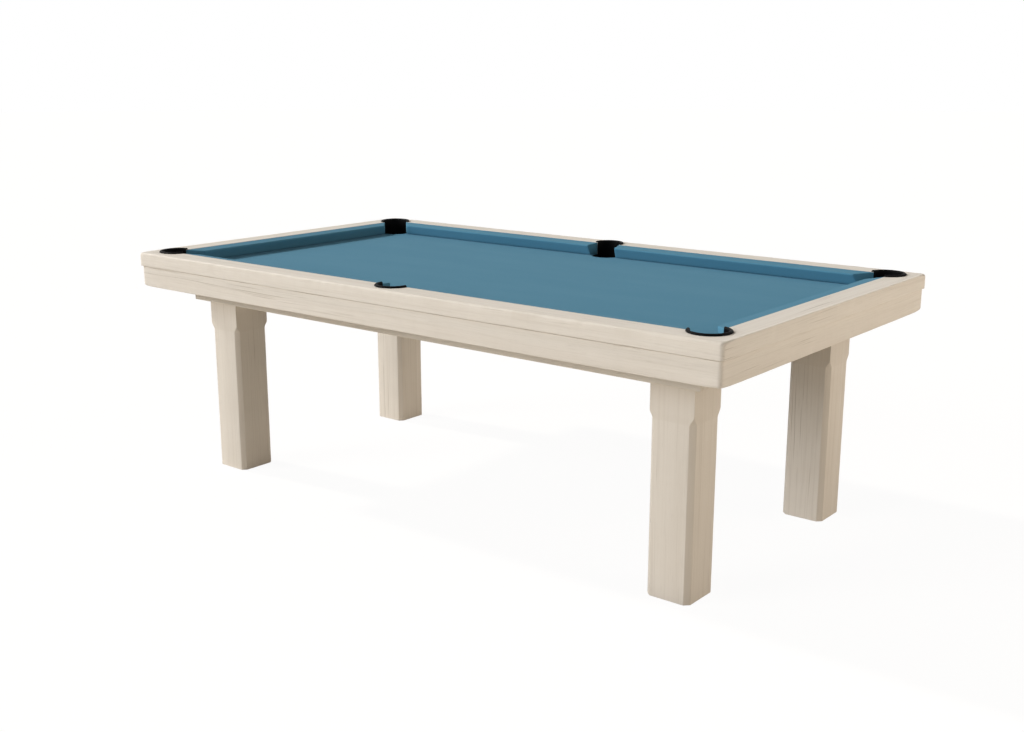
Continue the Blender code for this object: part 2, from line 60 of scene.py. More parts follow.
# Fits between pieces, and margins of the cuts
SEAT_GAP = 0.0003
MITRE_GAP = 0.00004
WELD_GAP = 0.000001
MERGE_GAP = 0.000005
CUT_MARGIN = 0.05
ROUND_OVER_ANGLE = 50
RAIL_SEAT = BED_TOP + SEAT_GAP

# Rails and aprons
RAIL_WIDTH = 0.085
RAIL_LIP = 0.034
RAIL_EDGE = 0.009
END_RAIL_EDGE = 0.0028
RAIL_FOOT_EDGE = 0.002
RAIL_TOP_RIM = 0.0003
CORNER_RADIUS = 0.0128
CORNER_RUB = 0.0115
CORNER_FADE = 0.03
CORNER_STEPS = 6
APRON_INSET = 0.006
APRON_THICKNESS = 0.020
APRON_EDGE = 0.003
LINE_HEIGHT = 0.0019
LINE_FLAT = 0.0014
LINE_DEPTH = 0.005
EDGE_STEPS = 8
BOARD_PITCH = 0.011

# Unevenness of hand-worn edges: its share of the size, waves as (per metre, share),
# and seeds as (first board, step from board to board)
EDGE_WANDER = 0.42
EDGE_WAVES = ((6.0, 0.45), (21.0, 0.35), (52.0, 0.30))
LINE_WANDER = 0.45
LINE_WAVES = ((5.0, 0.6), (17.0, 0.4))
# Patches of the painted shade along the long rails' upper edges
EDGE_SHADE_WANDER = 0.5
EDGE_SHADE_WAVES = ((14.0, 0.6), (43.0, 0.4))
RAIL_SEED = (0.0, 7.3)
RAIL_FOOT_SEED = (80.0, 3.9)
APRON_SEED = (40.0, 5.1)
LINE_SEED = (60.0, 2.7)

# Painted shade and painted highlight along the edges: where each starts, and over what length it
# fades
EDGE_SHADE_SHARE = 0.9
RAIL_SHADE_START = 0.005
RAIL_SHADE_FADE = 0.007
HIGHLIGHT_START = 0.011
HIGHLIGHT_FADE = 0.005
HIGHLIGHT_FALL = 0.0026
APRON_SHADE_START = 0.001
APRON_SHADE_FADE = 0.004

# Legs
LEG_SIZE = 0.150
LEG_X = 1.004
LEG_Y = 0.4435
LEG_CHAMFER = 0.0156
LEG_ARRIS = 0.001
LEG_EDGE = 0.0014
LEG_EDGE_SHARE = 0.35
LEG_WANDER = 0.0005
LEG_WAVES = ((9.0, 0.7), (31.0, 0.3))
LEG_SEED_STEP = 17.0
LEG_CORNER_SEED_STEP = 3.7
LEG_STEPS = 22
# Painted shade on the chamfers: its strength, where it starts and over what length it fades
LEG_CHAMFER_SHADE = 0.8
LEG_SHADE_START = 0.003
LEG_SHADE_FADE = 0.002
SOLE_SHRINK = 0.985
SOLE_EDGE = 0.0015
SOLE_LOOP = 0.004
STOP_TOP = LEG_HEIGHT - 0.089
STOP_LENGTH = 0.030
STOP_STEPS = 12
BOLT_X = 0.969
BOLT_Y = 0.4085
BOLT_BORE = 0.0066
BOLT_BORE_DEPTH = 0.079
BOLT_BORE_SEGMENTS = 24
FOOT_SEGMENTS = 48
FOOT_MARGIN = 0.01

# Bed cloth, folded down over the slates at the pockets
NOTCH_LEAD = 0.006
NOTCH_STEPS = 36
FOLD_OUTER = 0.0020
FOLD_INNER = 0.0007
FOLD_LIP = 0.0034
FOLD_LEAD = 0.0012

# Cushions; a support loop keeps the shading flat up to an edge
NOSE_SETBACK = 0.136
CUSHION_BACK = RAIL_WIDTH + SEAT_GAP
CUSHION_BACK_DROP = 0.0008
NOSE_DROP = 0.0055
NOSE_RADIUS = 0.005
CUSHION_UNDERCUT = 0.014
CUSHION_TOP_STEPS = 10
TUCK_RADIUS = 0.0015
TOE_OUT = 0.0003
TOE_IN = 0.0010
TOE_RISE = 0.0012
SUPPORT_LOOP = 0.012
CORNER_MOUTH = 0.100
CORNER_THROAT = 0.096
SIDE_MOUTH = 0.127
SIDE_THROAT = 0.104

# Cloth folded round a cushion's end, as (way in from the end, how far it is drawn in)
END_FOLDS = (
    (0.0, 0.0022), (0.00035, 0.0011), (0.0011, 0.0003), (0.0022, 0.0), (SUPPORT_LOOP, 0.0),
)
END_FOLD_CORE = 0.004
BACK_HOLD = 0.008

# Pockets, with offsets counted inward from the rails' inner faces
PocketPlan = namedtuple("PocketPlan", "liner_radius drop_radius liner_offset drop_offset")
CORNER_POCKET = PocketPlan(0.0525, 0.063, 0.015, 0.035)
SIDE_POCKET = PocketPlan(0.048, 0.058, -0.003, 0.0125)
POCKET_WALL = 0.003
POCKET_CLEARANCE = 0.0005
POCKET_LEDGE = 0.004
POCKET_SEGMENTS = 72
COLLAR_WIDTH = 0.012
COLLAR_HEIGHT = 0.0065
COLLAR_STEPS = 10
FLOOR_FILLET = 0.006
FLOOR_STEPS = 5
THROAT_REACH = 0.25
THROAT_EDGE = 0.0009

# Levelling feet
PAD_RADIUS = 0.025
PAD_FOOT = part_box("leveller_pad_near_left")[0].z
PAD_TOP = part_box("leveller_pad_near_left")[1].z
PAD_ROUND = 0.002
PAD_ROUND_STEPS = 5
PAD_CORE = 0.004
PAD_DISH = 0.012
PAD_DISH_DEPTH = 0.0006
PAD_SOCKET = 0.011
PAD_SOCKET_DEPTH = 0.0005
PAD_SLOPE = 0.001
PAD_SEGMENTS = 64
PAD_RECESS = 0.026
STEM_RADIUS = 0.006
STEM_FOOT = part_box("leveller_stem_near_left")[0].z
STEM_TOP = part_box("leveller_stem_near_left")[1].z
STEM_BORE = 0.0066
STEM_END_PLAY = 0.0006
STEM_SIDE_PLAY = 0.0002
THREAD_PITCH = 0.00175
THREAD_DEPTH = 0.00095
THREAD_LEAD = 0.0014
THREAD_SIDES = 28
THREAD_RINGS = 232
INSERT_BORE = 0.0096
INSERT_SHOULDER = 0.0118 + SEAT_GAP
INSERT_TOP = 0.0368 + SEAT_GAP

# Colours, linear
LIMED_OAK = ((0.760, 0.712, 0.646), (0.650, 0.590, 0.516), (0.400, 0.345, 0.280))
PLANED_TIMBER = ((0.735, 0.675, 0.590), (0.625, 0.555, 0.468), (0.400, 0.340, 0.270))
# Pale tone of the painted highlight along the end rails' upper edges
PAINTED_HIGHLIGHT_TONE = (0.90, 0.85, 0.77, 1)
FLOOR_COLOUR = (0.75, 0.695, 0.615, 1)
WHITE = (1, 1, 1, 1)
WARM_AIR = (1.0, 0.93, 0.84, 1)
WARM_LIGHT = (1.0, 0.89, 0.76)

# Weave of the wool cloth, in radians per metre
WEAVE_TURNS = 7000.0

# Camera, as fitted to the table's straight edges
CAMERA_PLACE = (2.7958, -3.4765, 1.5529)
CAMERA_DIP = 13.6948
CAMERA_TURN = 38.8004
CAMERA_LENS = 43.727
CAMERA_SENSOR = 36.0
CAMERA_REACH = 200.0

# Floor and far lamps
FLOOR_RADIUS = 40.0
FLOOR_SEGMENTS = 96
FLOOR_DROP = 0.0005
FLOOR_VEIL = 0.90
SUN_DISTANCE = 8

# The four sides: half length, place of the outer face's middle, and turn about Z
SIDES = {
    "near": (HALF_LENGTH, (0, -HALF_WIDTH, 0), 0),
    "right": (HALF_WIDTH, (HALF_LENGTH, 0, 0), 90),
    "far": (HALF_LENGTH, (0, HALF_WIDTH, 0), 180),
    "left": (HALF_WIDTH, (-HALF_LENGTH, 0, 0), 270),
}
LONG_SIDES = ("near", "far")

# The four corners: signs of X and Y, and turn about Z
CORNERS = {
    "near_left": (-1, -1, 0),
    "near_right": (1, -1, 90),
    "far_right": (1, 1, 180),
    "far_left": (-1, 1, 270),
}
POCKET_ORDER = ("near_left", "near_middle", "near_right", "far_right", "far_middle", "far_left")


# Mesh building

def placed(place, turn):
    return Matrix.Translation(place) @ Matrix.Rotation(math.radians(turn), 4, "Z")


def at_corner(corner, x, y):
    sign_x, sign_y = CORNERS[corner][:2]
    return Matrix.Translation((sign_x * x, sign_y * y, 0))


def arc(centre, radius, start, end, steps):
    points = []
    for i in range(steps + 1):
        angle = math.radians(start + (end - start) * i / steps)
        points.append((centre[0] + radius * math.cos(angle), centre[1] + radius * math.sin(angle)))
    return points


def circle(centre, radius, segments):
    return arc(centre, radius, 0, 360, segments)[:-1]


def loft(rings):
    """Closed skin through rings of equally many points, with flat ends."""
    shape = bmesh.new()
    loops = [[shape.verts.new(point) for point in ring] for ring in rings]
    count = len(loops[0])
    shape.faces.new(list(reversed(loops[0])))
    shape.faces.new(loops[-1])
    for lower, upper in zip(loops, loops[1:]):
        for i in range(count):
            j = (i + 1) % count
            shape.faces.new((lower[i], lower[j], upper[j], upper[i]))
    return shape


def prism(outline, bottom, top):
    return loft([[(x, y, height) for x, y in outline] for height in (bottom, top)])


def turned(profile, segments):
    """Solid of revolution about Z through a profile of (radius, height) points."""
    rings = []
    for radius, height in profile:
        rings.append([(x, y, height) for x, y in circle((0, 0), radius, segments)])
    return loft(rings)


def moved(shape, matrix):
    bmesh.ops.transform(shape, matrix=matrix, verts=shape.verts)
    return shape


def to_mesh(shape, name):
    bmesh.ops.remove_doubles(shape, verts=shape.verts, dist=WELD_GAP)
    bmesh.ops.recalc_face_normals(shape, faces=shape.faces)
    mesh = bpy.data.meshes.new(name)
    shape.to_mesh(mesh)
    shape.free()
    return mesh


def linked(name, data):
    item = bpy.data.objects.new(name, data)
    bpy.context.scene.collection.objects.link(item)
    return item


def evaluated_mesh(item, name):
    """Plain mesh of an object as its modifiers leave it."""
    graph = bpy.context.evaluated_depsgraph_get()
    mesh = bpy.data.meshes.new_from_object(item.evaluated_get(graph))
    mesh.name = name
    return mesh


def scrap(item):
    mesh = item.data
    bpy.data.objects.remove(item, do_unlink=True)
    bpy.data.meshes.remove(mesh)


def carved(name, shape, cutters, round_over=0.0):
    """Cut shapes out of another, round its sharp edges and return the plain mesh."""
    body = linked(name + "_blank", to_mesh(shape, name + "_blank"))
    spare = [body]
    for i, cutter in enumerate(cutters):
        tool = linked("%s_tool_%d" % (name, i), to_mesh(cutter, name + "_tool"))
        spare.append(tool)
        modifier = body.modifiers.new("carve_%d" % i, "BOOLEAN")
        modifier.operation = "DIFFERENCE"
        modifier.solver = "EXACT"
        modifier.object = tool
    if round_over:
        modifier = body.modifiers.new("round_over", "BEVEL")
        modifier.width = round_over
        modifier.segments = 2
        modifier.limit_method = "ANGLE"
        modifier.angle_limit = math.radians(ROUND_OVER_ANGLE)
    mesh = evaluated_mesh(body, name)
    cleaned = bmesh.new()
    cleaned.from_mesh(mesh)
    bmesh.ops.remove_doubles(cleaned, verts=cleaned.verts, dist=MERGE_GAP)
    bmesh.ops.dissolve_degenerate(cleaned, edges=cleaned.edges, dist=MERGE_GAP)
    cleaned.to_mesh(mesh)
    cleaned.free()
    for item in spare:
        scrap(item)
    return mesh


def add_piece(name, mesh, material, body, nodes, smooth=35):
    """One finished piece: shaded, riding its body and standing for its solids."""
    mesh.shade_smooth()
    mesh.set_sharp_from_angle(angle=math.radians(smooth))
    mesh.materials.clear()
    mesh.materials.append(material)
    piece = linked(name, mesh)
    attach(piece, body)
    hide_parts(*nodes)
    return piece


def wander(along, seed, waves):
    """Smooth hand-made unevenness along a board, about -1 to 1."""
    total = 0.0
    for rate, share in waves:
        total += share * noise.noise((along * rate, seed, rate))
    return 2 * total


def paint_edge_light(mesh, measure, least=0.0):
    """Store each point's painted edge light for the wood's finish: 1 is painted shade, -1 a pale
    painted highlight.
    """
    # The worn attribute carries the painted edge shade and painted highlight
    layer = mesh.attributes.new("worn", "FLOAT", "POINT")
    for point in mesh.vertices:
        layer.data[point.index].value = max(least, min(1.0, measure(point.co)))


# Node building

def feed(tree, item, inputs):
    """Give a node's inputs their values, or a link where the value is a socket."""
    for key, value in inputs.items():
        if isinstance(value, bpy.types.NodeSocket):
            tree.links.new(value, item.inputs[key])
        else:
            item.inputs[key].default_value = value


def node(tree, kind, inputs=None, **settings):
    item = tree.nodes.new(kind)
    for name, value in settings.items():
        setattr(item, name, value)
    feed(tree, item, inputs or {})
    return item


def number(tree, operation, *values, clamp=False):
    inputs = dict(enumerate(values))
    return node(tree, "ShaderNodeMath", inputs, operation=operation, use_clamp=clamp).outputs[0]


def vector(tree, operation, *values):
    inputs = dict(enumerate(values))
    return node(tree, "ShaderNodeVectorMath", inputs, operation=operation).outputs[0]


def blended(tree, share, first, second):
    inputs = {0: share, 6: first, 7: second}
    return node(tree, "ShaderNodeMix", inputs, data_type="RGBA").outputs[2]


def stained(tree, colour, stain, mask, amount):
    """Lay a stain over a colour where the mask is strong."""
    return blended(tree, number(tree, "MULTIPLY", mask, amount), colour, stain)


def spread(tree, value, low, high, to_low=0.0, to_high=1.0):
    inputs = {
        "Value": value, "From Min": low, "From Max": high, "To Min": to_low, "To Max": to_high,
    }
    return node(tree, "ShaderNodeMapRange", inputs, interpolation_type="SMOOTHSTEP").outputs[0]


def cloud(tree, position, scale, detail=2.0, rough=0.5, output="Fac"):
    """Noise whose scale may differ along the three axes."""
    stretched = vector(tree, "MULTIPLY", position, scale)
    inputs = {"Vector": stretched, "Scale": 1.0, "Detail": detail, "Roughness": rough}
    return node(tree, "ShaderNodeTexNoise", inputs).outputs[output]


def new_group(name, kind, inputs, outputs):
    """Node group with sockets given as (label, kind) pairs, and its two end nodes."""
    tree = bpy.data.node_groups.new(name, kind)
    for way, sockets in (("INPUT", inputs), ("OUTPUT", outputs)):
        for label, socket in sockets:
            tree.interface.new_socket(label, in_out=way, socket_type="NodeSocket" + socket)
    return tree, tree.nodes.new("NodeGroupInput").outputs, tree.nodes.new("NodeGroupOutput")


def oak_grain_group():
    """Limed oak: soft bands, brushed streaks, clusters of dark lines, painted shade or a painted
    highlight on edges.
    """
    tree, given, result = new_group(
        "limed_oak_grain", "ShaderNodeTree",
        [
            ("Board Position", "Vector"), ("Painted Edge Light", "Float"),
            ("Limed Wood", "Color"), ("Grain Tone", "Color"), ("Dark Line", "Color"),
            ("Band Contrast", "Float"), ("Line Amount", "Float"), ("Streak Amount", "Float"),
        ],
        [("Color", "Color"), ("Roughness", "Float"), ("Height", "Float")],
    )
    place = given["Board Position"]
    tone, dark = given["Grain Tone"], given["Dark Line"]
    drift = cloud(tree, place, (1.1, 5.0, 5.0), output="Color")
    drift = vector(tree, "SUBTRACT", drift, (0.5, 0.5, 0.5))
    drift = vector(tree, "MULTIPLY", drift, (0.0, 0.030, 0.030))
    along = vector(tree, "ADD", place, drift)
    bands = spread(tree, cloud(tree, along, (0.5, 44.0, 44.0), 3.0), 0.38, 0.68)
    fibres = spread(tree, cloud(tree, along, (5.0, 480.0, 480.0), 3.0, 0.6), 0.42, 0.70)
    streaks = spread(tree, cloud(tree, along, (1.7, 150.0, 150.0), 3.0), 0.52, 0.68)
    lines = spread(tree, cloud(tree, along, (2.2, 200.0, 200.0), 2.0), 0.61, 0.68)
    patches = spread(tree, cloud(tree, place, (1.5, 11.0, 11.0)), 0.50, 0.64)
    pores = spread(tree, cloud(tree, along, (24.0, 760.0, 760.0)), 0.60, 0.70)
    marks = number(tree, "MULTIPLY", lines, patches)
    # Painted shade where the edge value is positive
    painted_shade = number(tree, "MAXIMUM", given["Painted Edge Light"], 0.0)
    # Painted highlight where the edge value is negative
    painted_highlight = number(tree, "MAXIMUM", number(tree, "MULTIPLY", given["Painted Edge Light"], -0.8), 0.0)
    colour = stained(tree, given["Limed Wood"], tone, bands, given["Band Contrast"])
    colour = stained(tree, colour, tone, fibres, 0.25)
    colour = stained(tree, colour, dark, streaks, given["Streak Amount"])
    colour = stained(tree, colour, dark, marks, given["Line Amount"])
    colour = stained(tree, colour, dark, pores, 0.16)
    # Darken towards the grain tone for painted shade on edges
    colour = stained(tree, colour, tone, painted_shade, 0.65)
    # Pale tone for the painted highlight on the end rails' edges
    colour = blended(tree, painted_highlight, colour, PAINTED_HIGHLIGHT_TONE)
    rough = number(tree, "MULTIPLY_ADD", fibres, 0.14, 0.54)
    rough = number(tree, "MULTIPLY_ADD", painted_shade, -0.08, rough)
    sunk = number(tree, "MULTIPLY_ADD", marks, 0.6, number(tree, "MULTIPLY", fibres, 0.35))
    sunk = number(tree, "MULTIPLY_ADD", pores, 0.4, sunk)
    sunk = number(tree, "MULTIPLY_ADD", bands, 0.25, sunk)
    sunk = number(tree, "MULTIPLY_ADD", streaks, 0.45, sunk)
    height = number(tree, "SUBTRACT", 1.0, sunk)
    feed(tree, result, {"Color": colour, "Roughness": rough, "Height": height})
    return tree


def wool_group():
    """Napped wool cloth: a fine weave under short fluff, brushed along the table."""
    tree, given, result = new_group(
        "napped_wool", "ShaderNodeTree",
        [
            ("Cloth Position", "Vector"), ("Dyed Wool", "Color"), ("Lint", "Color"),
            ("Thread Turns", "Float"),
        ],
        [("Color", "Color"), ("Roughness", "Float"), ("Height", "Float")],
    )
    place = given["Cloth Position"]
    inputs = {0: place, "Scale": given["Thread Turns"]}
    scaled = node(tree, "ShaderNodeVectorMath", inputs, operation="SCALE")
    axes = node(tree, "ShaderNodeSeparateXYZ", {0: scaled.outputs[0]}).outputs
    waves = [number(tree, "SINE", axes[i]) for i in range(3)]
    weave = number(tree, "MULTIPLY", waves[0], waves[1])
    weave = number(tree, "MULTIPLY_ADD", waves[1], waves[2], weave)
    weave = number(tree, "MULTIPLY_ADD", waves[2], waves[0], weave)
    fluff = cloud(tree, place, (620.0, 620.0, 620.0), 3.0, 0.65)
    brushed = cloud(tree, place, (2.2, 9.0, 9.0), 3.0)
    lint = spread(tree, fluff, 0.30, 0.78, 0.0, 0.30)
    lint = number(tree, "ADD", lint, spread(tree, brushed, 0.30, 0.72, 0.0, 0.22))
    lint = number(tree, "MULTIPLY_ADD", weave, 0.05, lint, clamp=True)
    feed(tree, result, {
        "Color": blended(tree, lint, given["Dyed Wool"], given["Lint"]),
        "Roughness": spread(tree, fluff, 0.3, 0.7, 0.82, 0.95),
        "Height": number(tree, "MULTIPLY_ADD", weave, 0.30, fluff),
    })
    return tree


def fine_grain_group():
    """Speckle of a moulded, plated or ground surface, with slow patches under it."""
    tree, given, result = new_group(
        "fine_grain", "ShaderNodeTree",
        [("Surface Position", "Vector"), ("Speckle Scale", "Float"), ("Patch Scale", "Float")],
        [("Speckle", "Float"), ("Patch", "Float")],
    )
    for label, low, high in (("Speckle", 0.35, 0.65), ("Patch", 0.35, 0.68)):
        inputs = {
            "Vector": given["Surface Position"], "Scale": given[label + " Scale"], "Detail": 3.0,
        }
        texture = node(tree, "ShaderNodeTexNoise", inputs)
        feed(tree, result, {label: spread(tree, texture.outputs["Fac"], low, high)})
    return tree


def new_material(name):
    material = bpy.data.materials.new(name)
    material.use_nodes = True
    tree = material.node_tree
    return material, tree, tree.nodes["Principled BSDF"]


def object_place(tree):
    return tree.nodes.new("ShaderNodeTexCoord").outputs["Object"]


def use_group(tree, group, inputs):
    return node(tree, "ShaderNodeGroup", inputs, node_tree=group).outputs


def raised(tree, height, strength, distance):
    inputs = {"Strength": strength, "Distance": distance, "Height": height}
    return node(tree, "ShaderNodeBump", inputs).outputs[0]


def oak_material(name, group, turn, shift, tones, contrast, lines, streaks):
    """Oak for one board: turn lays its length on the grain, shift picks its place in the log."""
    material, tree, shader = new_material(name)
    inputs = {"Vector": object_place(tree), "Rotation": turn, "Location": shift}
    mapped = node(tree, "ShaderNodeMapping", inputs)
    limed, tone, dark = tones
    made = use_group(tree, group, {
        "Board Position": mapped.outputs[0],
        # Painted edge shade and painted highlight, read from the worn attribute
        "Painted Edge Light": node(tree, "ShaderNodeAttribute", attribute_name="worn").outputs["Fac"],
        "Limed Wood": (*limed, 1),
        "Grain Tone": (*tone, 1),
        "Dark Line": (*dark, 1),
        "Band Contrast": contrast,
        "Line Amount": lines,
        "Streak Amount": streaks,
    })
    feed(tree, shader, {
        "Base Color": made["Color"],
        "Roughness": made["Roughness"],
        "Specular IOR Level": 0.10,
        "Normal": raised(tree, made["Height"], 0.35, 0.0008),
    })
    return material


def wool_material(name, group, dyed, lint):
    material, tree, shader = new_material(name)
    made = use_group(tree, group, {
        "Cloth Position": object_place(tree),
        "Dyed Wool": (*dyed, 1),
        "Lint": (*lint, 1),
        "Thread Turns": WEAVE_TURNS,
    })
    feed(tree, shader, {
        "Base Color": made["Color"],
        "Roughness": made["Roughness"],
        "Specular IOR Level": 0.05,
        "Sheen Weight": 0.04,
        "Sheen Roughness": 0.5,
        "Normal": raised(tree, made["Height"], 0.30, 0.0004),
    })
    return material


def grained_material(name, group, dark, light, rough, metallic, shine, speckle, patch, bump):
    """Moulded, plated or ground finish between two tones; speckle and patch are noise scales."""
    material, tree, shader = new_material(name)
    made = use_group(tree, group, {
        "Surface Position": object_place(tree),
        "Speckle Scale": speckle,
        "Patch Scale": patch,
    })
    uneven = number(tree, "MULTIPLY", made["Patch"], 0.5)
    uneven = number(tree, "MULTIPLY_ADD", made["Speckle"], 0.5, uneven)
    feed(tree, shader, {
        "Base Color": blended(tree, made["Patch"], (*dark, 1), (*light, 1)),
        "Roughness": spread(tree, uneven, 0.0, 1.0, *rough),
        "Metallic": metallic,
        "Specular IOR Level": shine,
        "Normal": raised(tree, made["Speckle"], bump, 0.0003),
    })
    return material


# Wooden boards

def board_name(kind, side):
    return "%s_%s_%s" % ("side" if side in LONG_SIDES else "end", kind, side)


def board_seed(seed, index):
    start, step = seed
    return start + step * index


def board_edge(half, inset, rise):
    """Outer edge of a mitred board, drawn in by inset(along) and lying at height rise(along)."""
    middle = half - MITRE_GAP - CORNER_RADIUS
    path = []
    for x, y in arc((0, 0), 1, 225, 270, CORNER_STEPS)[:-1]:
        path.append((-middle, x, y))
    count = round(2 * middle / BOARD_PITCH)
    for i in range(count + 1):
        path.append((-middle + 2 * middle * i / count, 0.0, -1.0))
    for x, y in arc((0, 0), 1, 270, 315, CORNER_STEPS)[1:]:
        path.append((middle, x, y))
    edge = []
    for along, x, y in path:
        reach = CORNER_RADIUS - inset(along)
        edge.append((along + x * reach, CORNER_RADIUS + y * reach, rise(along)))
    return edge


def level_edge(half, inset, height):
    return board_edge(half, lambda s: inset, lambda s: height)


def worn_edges(half, radius, seed, height, sign, corner=None):
    """Edges round a worn arris, rubbed to corner at the ends; sign is -1 for a lower arris."""
    def worn(s):
        size = min(radius * (1 + EDGE_WANDER * wander(s, seed, EDGE_WAVES)), CORNER_RUB)
        if corner is None:
            return size
        near_end = min(1.0, math.exp((abs(s) - half + CORNER_RADIUS) / CORNER_FADE))
        return size + (corner - size) * near_end

    edges = []
    for i in range(EDGE_STEPS + 1):
        angle = math.pi / 2 * i / EDGE_STEPS
        edges.append(board_edge(
            half,
            lambda s, a=angle: worn(s) * (1 - math.cos(a)),
            lambda s, a=angle: height - sign * worn(s) * (1 - math.sin(a)),
        ))
    return edges


def board(half, width, edges):
    """Closed board behind its outer edges, with mitred ends and a flat back."""
    shape = bmesh.new()
    loops = [[shape.verts.new(point) for point in edge] for edge in edges]
    back = half - MITRE_GAP - width
    first, last = edges[0][0][2], edges[-1][0][2]
    right = [shape.verts.new((back, width, height)) for height in (first, last)]
    left = [shape.verts.new((-back, width, height)) for height in (first, last)]
    for lower, upper in zip(loops, loops[1:]):
        for i in range(len(lower) - 1):
            shape.faces.new((lower[i], lower[i + 1], upper[i + 1], upper[i]))
    shape.faces.new(loops[0] + [right[0], left[0]])
    shape.faces.new(loops[-1] + [right[1], left[1]])
    shape.faces.new([loop[-1] for loop in loops] + right[::-1])
    shape.faces.new([loop[0] for loop in loops] + left[::-1])
    shape.faces.new(right + left[::-1])
    return shape


def pocket_place(name):
    """Plan, place and turn of a pocket; in its own frame X points towards the bed."""
    if name.endswith("middle"):
        sign = -1 if name.startswith("near") else 1
        setback = RAIL_WIDTH + SIDE_POCKET.drop_offset
        return SIDE_POCKET, (0, sign * (HALF_WIDTH - setback), 0), 90 if sign < 0 else 270
    sign_x, sign_y, turn = CORNERS[name]
    setback = RAIL_WIDTH + CORNER_POCKET.drop_offset
    place = (sign_x * (HALF_LENGTH - setback), sign_y * (HALF_WIDTH - setback), 0)
    return CORNER_POCKET, place, turn + 45


def pocket_lean(plan):
    """How far the liner stands behind the drop, along the pocket's own X."""
    lean = plan.drop_offset - plan.liner_offset
    return lean * (math.sqrt(2) if plan is CORNER_POCKET else 1)


def rail_hole(name):
    plan, place, turn = pocket_place(name)
    radius = plan.liner_radius + POCKET_WALL + POCKET_CLEARANCE
    outline = circle((-pocket_lean(plan), 0), radius, POCKET_SEGMENTS)
    hole = prism(outline, RAIL_BOTTOM - CUT_MARGIN, RAIL_TOP + CUT_MARGIN)
    return moved(hole, placed(place, turn))


def end_rail_highlight(point):
    """Painted highlight: a pale tone along the upper outer edge."""
    depth = HALF_LENGTH - abs(point.x)
    fall = RAIL_TOP - point.z
    return -max(0.0, min((HIGHLIGHT_START - depth) / HIGHLIGHT_FADE, 1 - fall / HIGHLIGHT_FALL))


def side_rail_shade(point, seed):
    """Painted shade in patches along the upper outer edge, toning down its highlight."""
    shade_share = EDGE_SHADE_SHARE + EDGE_SHADE_WANDER * wander(point.x, seed, EDGE_SHADE_WAVES)
    inward = HALF_WIDTH - abs(point.y) + (RAIL_TOP - point.z)
    return shade_share * max(0.0, 1 - (inward - RAIL_SHADE_START) / RAIL_SHADE_FADE)


def make_rails(woods):
    reach_x, reach_y = HALF_LENGTH - RAIL_LIP, HALF_WIDTH - RAIL_LIP
    seat = [(-reach_x, -reach_y), (reach_x, -reach_y), (reach_x, reach_y), (-reach_x, reach_y)]
    for i, (side, (half, place, turn)) in enumerate(SIDES.items()):
        seed = board_seed(RAIL_SEED, i)
        foot_seed = board_seed(RAIL_FOOT_SEED, i)
        radius = RAIL_EDGE if side in LONG_SIDES else END_RAIL_EDGE
        edges = worn_edges(half, RAIL_FOOT_EDGE, foot_seed, RAIL_BOTTOM, -1)[::-2]
        edges += worn_edges(half, radius, seed, RAIL_TOP, 1, CORNER_RUB)
        edges.append(level_edge(half, CORNER_RADIUS - RAIL_TOP_RIM, RAIL_TOP))
        blank = moved(board(half, RAIL_WIDTH, edges), placed(place, turn))
        cutters = [prism(seat, RAIL_BOTTOM - CUT_MARGIN, RAIL_SEAT)]
        cutters += [rail_hole(name) for name in POCKET_ORDER if side in name.split("_")]
        name = board_name("rail", side)
        mesh = carved(name + "_worn", blank, cutters)
        if side in LONG_SIDES:
            # Long rails get painted shade along the upper outer edge
            paint_edge_light(mesh, lambda point: side_rail_shade(point, seed), -1.0)
        else:
            # End rails get a painted highlight along the upper outer edge
            paint_edge_light(mesh, end_rail_highlight, -1.0)
        add_piece(name + "_worn", mesh, woods[side], "table", [name])


def line_height(along, seed):
    """Height of the shadow line under the rail, cut by hand and so a little uneven."""
    return LINE_HEIGHT * (1 + LINE_WANDER * wander(along, seed, LINE_WAVES))


def apron_shade(point):
    """Painted shade along the lower edge."""
    return 1 - (point.z - APRON_BOTTOM - APRON_SHADE_START) / APRON_SHADE_FADE


def make_aprons(woods):
    for i, (side, (half, place, turn)) in enumerate(SIDES.items()):
        inner = half - APRON_INSET
        line_seed = board_seed(LINE_SEED, i)
        edges = [level_edge(inner, LINE_DEPTH, APRON_TOP - drop) for drop in (0.0, LINE_FLAT)]
        edges.append(board_edge(
            inner, lambda s: 0.0, lambda s: APRON_TOP - line_height(s, line_seed),
        ))
        seed = board_seed(APRON_SEED, i)
        edges += worn_edges(inner, APRON_EDGE, seed, APRON_BOTTOM, -1, CORNER_RUB)
        set_back = placed(place, turn) @ Matrix.Translation((0, APRON_INSET, 0))
        blank = moved(board(inner, APRON_THICKNESS, edges), set_back)
        name = board_name("apron", side)
        mesh = to_mesh(blank, name + "_worn")
        # Painted shade along the apron's lower edge
        paint_edge_light(mesh, apron_shade)
        add_piece(name + "_worn", mesh, woods[side], "table", [name])


# Legs

